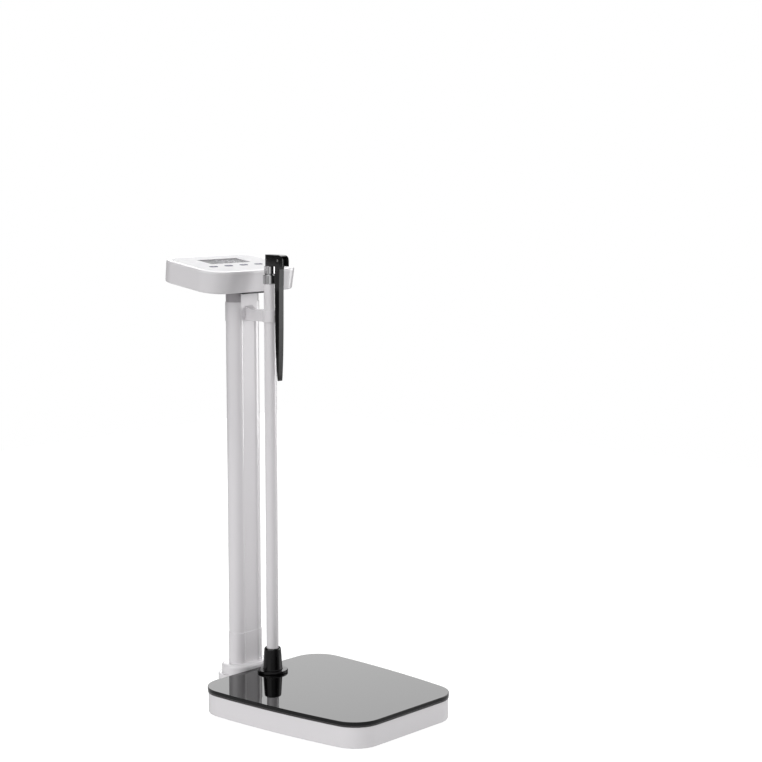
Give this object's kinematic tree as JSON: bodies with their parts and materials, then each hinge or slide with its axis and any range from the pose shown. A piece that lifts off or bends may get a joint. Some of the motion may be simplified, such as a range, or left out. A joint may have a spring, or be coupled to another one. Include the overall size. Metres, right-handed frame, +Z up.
{
  "type": "physician scale",
  "caption": "Floor-standing physician scale: rounded glass-topped platform, column with tilted digital display head, and a telescoping height rod with a folding measuring arm.",
  "frame": {"origin": "on the floor under the feet, midway across X and midway between the platform's front edge and the display housing's back edge", "axes": "+Z up along the column; -Y is the front, where the patient steps on; the person reading the display stands on the +Y side; +X is to the right seen from the front"},
  "size_m": [0.3966, 0.65, 1.0325],
  "materials": {
    "white_paint": "gloss powder coat",
    "white_plastic": "smooth semi-gloss",
    "black_glass": "black-backed tempered glass, polished",
    "dark_plastic": "satin",
    "steel": "dark primer",
    "cell_aluminium": "machined",
    "zinc_steel": "zinc plated",
    "foot_rubber": "matt",
    "chrome": "bright chrome",
    "glide_plastic": "natural",
    "black_plastic": "satin black",
    "board": "solder mask",
    "lcd": "grey-green liquid crystal",
    "clear_lens": "clear",
    "key_plastic": "satin blue-grey",
    "cell_sleeve": "printed sleeve",
    "cable_sheath": "pvc",
    "socket_plastic": "moulded"
  },
  "bodies": {
    "stand": {"battery_cells": "cell_sleeve", "bottom_screws": "zinc_steel", "bracket_screw": "zinc_steel", "collar_bracket": "white_paint", "column": "white_paint", "column_anchor": "steel", "column_sleeve": "white_paint", "display_board": "board", "display_window": "clear_lens", "edge_ring": "dark_plastic", "glass_top": "black_glass", "head_plate": "dark_plastic", "housing_bottom": "white_plastic", "housing_screws": "zinc_steel", "housing_top": "white_plastic", "junction_board": "board", "lcd_panel": "lcd", "load_cell_back_left": "cell_aluminium", "load_cell_back_right": "cell_aluminium", "load_cell_front_left": "cell_aluminium", "load_cell_front_right": "cell_aluminium", "neck": "dark_plastic", "outer_ferrule": "chrome", "outer_tube": "chrome", "platform_bottom_plate": "steel", "platform_shell": "white_paint", "plinth_base": "white_plastic", "plinth_cover": "white_plastic", "power_socket": "socket_plastic", "rod_boot": "black_plastic", "rod_socket": "steel", "signal_cable": "cable_sheath", "support_frame": "steel"},
    "middle_stage": {"middle_tube": "chrome", "middle_coupling": "chrome", "middle_glide": "glide_plastic"},
    "inner_stage": {"inner_tube": "chrome", "inner_glide": "glide_plastic", "head_block": "black_plastic", "head_pin": "zinc_steel"},
    "arm": {"measuring_arm": "black_plastic"},
    "key_1": {"key_1": "key_plastic"},
    "key_2": {"key_2": "key_plastic"},
    "key_3": {"key_3": "key_plastic"},
    "key_4": {"key_4": "key_plastic"},
    "battery_door": {"battery_door": "white_plastic"},
    "foot_front_left": {"foot_stud_front_left": "zinc_steel", "foot_pad_front_left": "foot_rubber"},
    "foot_front_right": {"foot_stud_front_right": "zinc_steel", "foot_pad_front_right": "foot_rubber"},
    "foot_back_left": {"foot_stud_back_left": "zinc_steel", "foot_pad_back_left": "foot_rubber"},
    "foot_back_right": {"foot_stud_back_right": "zinc_steel", "foot_pad_back_right": "foot_rubber"}
  },
  "joints": [
    {"name": "middle_slide", "type": "slide", "parent": "stand", "child": "middle_stage", "axis": [0, 0, 1], "range_m": [0, 0.55]},
    {"name": "inner_slide", "type": "slide", "parent": "middle_stage", "child": "inner_stage", "axis": [0, 0, 1], "range_m": [0, 0.55]},
    {"name": "arm_fold", "type": "hinge", "parent": "inner_stage", "child": "arm", "pos_m": [0, 0.065, 1.0205], "axis": [-1, 0, 0], "range_deg": [0, 90]},
    {"name": "key_1_press", "type": "slide", "parent": "stand", "child": "key_1", "axis": [0, 0.1461, -0.9893], "range_m": [0, 0.0012], "stiffness_N_per_m": 900, "springref_m": -0.0003},
    {"name": "key_2_press", "type": "slide", "parent": "stand", "child": "key_2", "axis": [0, 0.1461, -0.9893], "range_m": [0, 0.0012], "stiffness_N_per_m": 900, "springref_m": -0.0003},
    {"name": "key_3_press", "type": "slide", "parent": "stand", "child": "key_3", "axis": [0, 0.1461, -0.9893], "range_m": [0, 0.0012], "stiffness_N_per_m": 900, "springref_m": -0.0003},
    {"name": "key_4_press", "type": "slide", "parent": "stand", "child": "key_4", "axis": [0, 0.1461, -0.9893], "range_m": [0, 0.0012], "stiffness_N_per_m": 900, "springref_m": -0.0003},
    {"name": "battery_door_hinge", "type": "hinge", "parent": "stand", "child": "battery_door", "pos_m": [0, 0.25907, 0.96331], "axis": [-1, 0, 0], "range_deg": [0, 95]},
    {"name": "foot_front_left_level", "type": "slide", "parent": "stand", "child": "foot_front_left", "axis": [0, 0, -1], "range_m": [0, 0.008]},
    {"name": "foot_front_right_level", "type": "slide", "parent": "stand", "child": "foot_front_right", "axis": [0, 0, -1], "range_m": [0, 0.008]},
    {"name": "foot_back_left_level", "type": "slide", "parent": "stand", "child": "foot_back_left", "axis": [0, 0, -1], "range_m": [0, 0.008]},
    {"name": "foot_back_right_level", "type": "slide", "parent": "stand", "child": "foot_back_right", "axis": [0, 0, -1], "range_m": [0, 0.008]}
  ]
}
